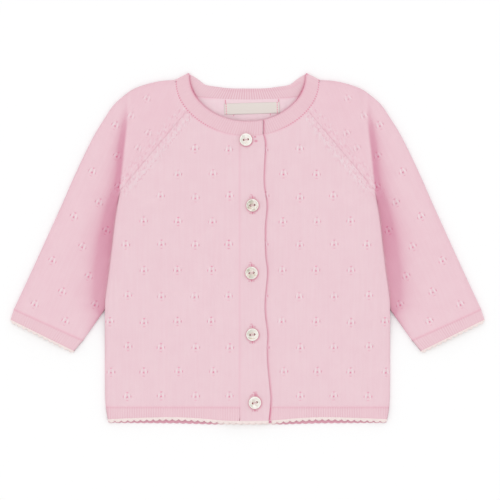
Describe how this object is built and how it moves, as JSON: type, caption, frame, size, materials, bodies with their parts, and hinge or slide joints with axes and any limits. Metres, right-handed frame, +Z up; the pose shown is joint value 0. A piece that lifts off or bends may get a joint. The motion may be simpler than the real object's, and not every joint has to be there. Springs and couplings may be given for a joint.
{
  "type": "baby cardigan",
  "caption": "Raglan baby cardigan in fine pink knit with rib neckband, cuffs and hem, scalloped edging and pearl buttons, lying flat and buttoned.",
  "frame": {"origin": "on the surface the cardigan lies on, under the middle of its box", "axes": "+X to the wearer's left, from cuff to cuff; +Y from hem to neck; +Z up, out of the front"},
  "size_m": [0.4274, 0.3168, 0.0091],
  "materials": {
    "knit": "fine cotton knit, matt",
    "rib": "fine cotton rib, matt",
    "edging": "cream crochet cotton, matt",
    "label": "woven satin ribbon",
    "pearl": "mother of pearl, polished"
  },
  "bodies": {
    "root": {"back": "knit", "front_right": "knit", "front_left": "knit", "sleeve_right": "knit", "sleeve_left": "knit", "buttonhole_band": "rib", "button_band": "rib", "neckband": "rib", "hem_back": "rib", "hem_front_right": "rib", "hem_front_left": "rib", "cuff_right": "rib", "cuff_left": "rib", "picot_hem_back": "edging", "picot_hem_front_right": "edging", "picot_hem_front_left": "edging", "picot_cuff_right": "edging", "picot_cuff_left": "edging", "label": "label", "button_1": "pearl", "button_2": "pearl", "button_3": "pearl", "button_4": "pearl", "button_5": "pearl"}
  },
  "joints": []
}
